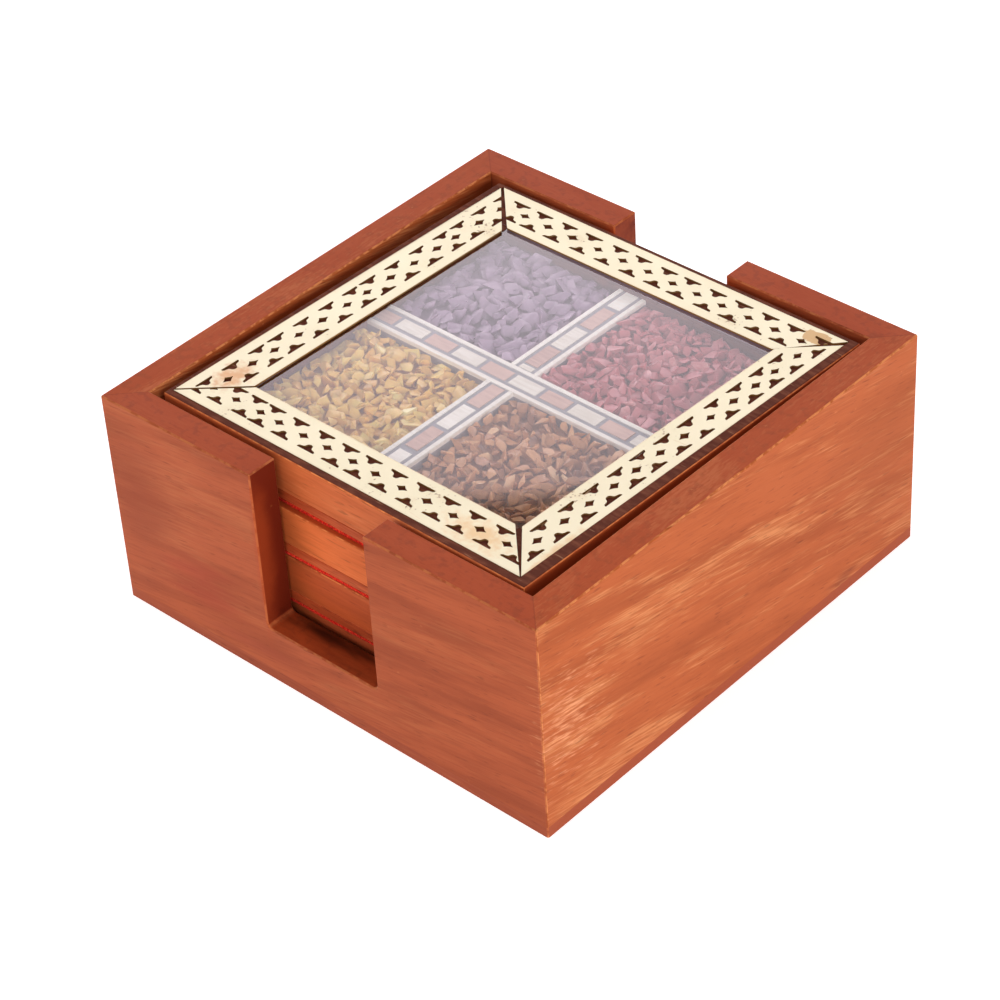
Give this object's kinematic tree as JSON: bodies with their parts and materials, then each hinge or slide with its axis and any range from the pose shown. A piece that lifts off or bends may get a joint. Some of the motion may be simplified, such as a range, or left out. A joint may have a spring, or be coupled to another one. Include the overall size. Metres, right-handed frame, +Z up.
{
  "type": "coaster set with holder",
  "caption": "Stack of square gemstone-inlay coasters with pierced brass frames in an open wooden holder that has a finger notch in two opposite walls.",
  "frame": {"origin": "centre of the holder's footprint on the surface that it stands on", "axes": "+Z up; -Y is a wall with a finger notch and +Y the other; +X and -X are the plain walls"},
  "size_m": [0.114, 0.114, 0.051],
  "materials": {
    "holder_wood": "reddish stain under satin lacquer",
    "coaster_wood": "brown-red stain under satin lacquer",
    "red_felt": "pressed wool felt",
    "clear_glass": "polished float glass",
    "pierced_brass": "pale brass sheet, stamped and rubbed flat",
    "inlay_wood": "oiled dark hardwood",
    "inlay_bone": "bone white, polished flat",
    "amethyst": "crushed tumbled chips",
    "citrine": "crushed tumbled chips",
    "carnelian": "crushed tumbled chips",
    "tiger_eye": "crushed tumbled chips"
  },
  "bodies": {
    "holder": {"holder_base": "holder_wood", "holder_front_wall": "holder_wood", "holder_right_wall": "holder_wood", "holder_back_wall": "holder_wood", "holder_left_wall": "holder_wood"},
    "coaster_1": {"coaster_1_block": "coaster_wood", "coaster_1_felt": "red_felt", "coaster_1_glass": "clear_glass", "coaster_1_brass_front": "pierced_brass", "coaster_1_brass_right": "pierced_brass", "coaster_1_brass_back": "pierced_brass", "coaster_1_brass_left": "pierced_brass", "coaster_1_cross_wood": "inlay_wood", "coaster_1_cross_bone": "inlay_bone", "coaster_1_chips_amethyst": "amethyst", "coaster_1_chips_citrine": "citrine", "coaster_1_chips_carnelian": "carnelian", "coaster_1_chips_tiger_eye": "tiger_eye"},
    "coaster_2": {"coaster_2_block": "coaster_wood", "coaster_2_felt": "red_felt", "coaster_2_glass": "clear_glass", "coaster_2_brass_front": "pierced_brass", "coaster_2_brass_right": "pierced_brass", "coaster_2_brass_back": "pierced_brass", "coaster_2_brass_left": "pierced_brass", "coaster_2_cross_wood": "inlay_wood", "coaster_2_cross_bone": "inlay_bone", "coaster_2_chips_amethyst": "amethyst", "coaster_2_chips_citrine": "citrine", "coaster_2_chips_carnelian": "carnelian", "coaster_2_chips_tiger_eye": "tiger_eye"},
    "coaster_3": {"coaster_3_block": "coaster_wood", "coaster_3_felt": "red_felt", "coaster_3_glass": "clear_glass", "coaster_3_brass_front": "pierced_brass", "coaster_3_brass_right": "pierced_brass", "coaster_3_brass_back": "pierced_brass", "coaster_3_brass_left": "pierced_brass", "coaster_3_cross_wood": "inlay_wood", "coaster_3_cross_bone": "inlay_bone", "coaster_3_chips_amethyst": "amethyst", "coaster_3_chips_citrine": "citrine", "coaster_3_chips_carnelian": "carnelian", "coaster_3_chips_tiger_eye": "tiger_eye"},
    "coaster_4": {"coaster_4_block": "coaster_wood", "coaster_4_felt": "red_felt", "coaster_4_glass": "clear_glass", "coaster_4_brass_front": "pierced_brass", "coaster_4_brass_right": "pierced_brass", "coaster_4_brass_back": "pierced_brass", "coaster_4_brass_left": "pierced_brass", "coaster_4_cross_wood": "inlay_wood", "coaster_4_cross_bone": "inlay_bone", "coaster_4_chips_amethyst": "amethyst", "coaster_4_chips_citrine": "citrine", "coaster_4_chips_carnelian": "carnelian", "coaster_4_chips_tiger_eye": "tiger_eye"}
  },
  "joints": [
    {"name": "coaster_4_lift", "type": "slide", "parent": "holder", "child": "coaster_4", "axis": [0, 0, 1], "range_m": [0, 0.0584]},
    {"name": "coaster_3_lift", "type": "slide", "parent": "coaster_4", "child": "coaster_3", "axis": [0, 0, 1], "range_m": [0, 0.0464]},
    {"name": "coaster_2_lift", "type": "slide", "parent": "coaster_3", "child": "coaster_2", "axis": [0, 0, 1], "range_m": [0, 0.0344]},
    {"name": "coaster_1_lift", "type": "slide", "parent": "coaster_2", "child": "coaster_1", "axis": [0, 0, 1], "range_m": [0, 0.0224]}
  ]
}
